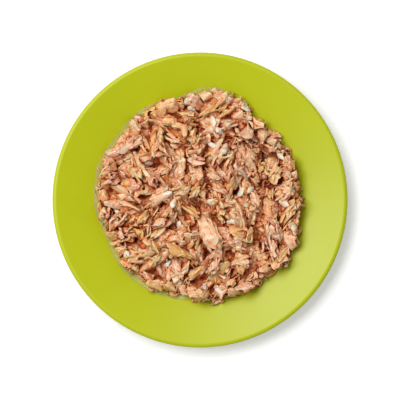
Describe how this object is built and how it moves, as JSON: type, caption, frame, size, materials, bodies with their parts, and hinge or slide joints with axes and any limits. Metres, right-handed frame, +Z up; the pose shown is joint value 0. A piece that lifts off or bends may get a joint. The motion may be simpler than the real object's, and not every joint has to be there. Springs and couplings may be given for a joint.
{
  "type": "plate of shredded wet cat food",
  "caption": "Round side plate with a sloping rim and a foot ring, holding a low, uneven heap of shredded wet cat food.",
  "frame": {"origin": "centre of the plate's foot ring, on the surface that it stands on", "axes": "+Z up; +X to the right and +Y away, with the heap's outline as seen from above"},
  "size_m": [0.18, 0.18, 0.0208],
  "materials": {
    "lime_glaze": "smooth lime green gloss",
    "cooked_meat": "moist cooked meat, pink to tan, with fine fibres",
    "cooked_rice": "moist off-white grains",
    "clear_juice": "thin clear cooking juice, wet gloss"
  },
  "bodies": {
    "root": {"plate": "lime_glaze", "shredded_food": "cooked_meat"}
  },
  "joints": []
}
